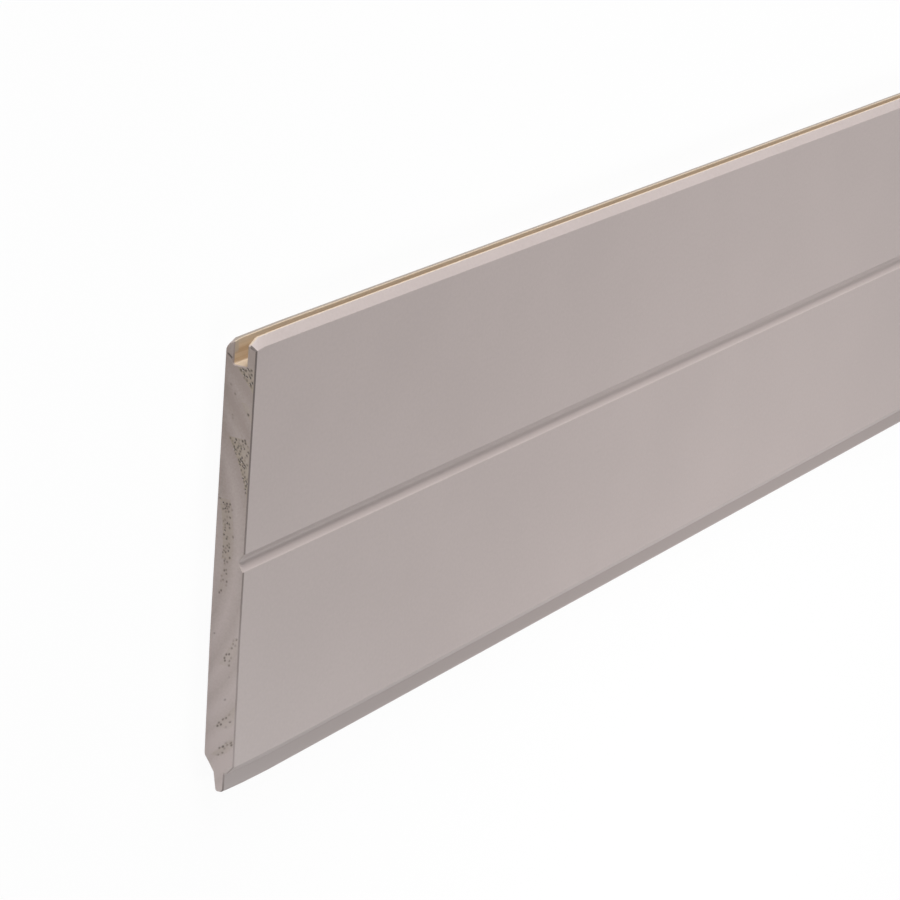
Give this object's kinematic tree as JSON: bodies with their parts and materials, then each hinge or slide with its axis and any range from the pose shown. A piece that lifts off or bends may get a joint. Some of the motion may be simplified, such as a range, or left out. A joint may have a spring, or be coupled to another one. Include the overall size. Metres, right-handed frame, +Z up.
{
  "type": "cladding board",
  "caption": "Thin painted softwood cladding board with a tongue along one edge, a groove along the other, bevelled face edges and a V groove along the middle of its face.",
  "frame": {"origin": "centre of the bounding box on the plane of the board's back, which it lies on", "axes": "+X along the board, +Y across it towards the groove edge, +Z up from the back to the face"},
  "size_m": [2.05, 0.1348, 0.01],
  "materials": {
    "painted_softwood": "planed softwood with a thin satin warm grey paint on the face, the bevels, the tongue and the back, bare in the edge groove, and thinly covered at the sawn ends"
  },
  "bodies": {
    "root": {"cladding_board": "painted_softwood"}
  },
  "joints": []
}
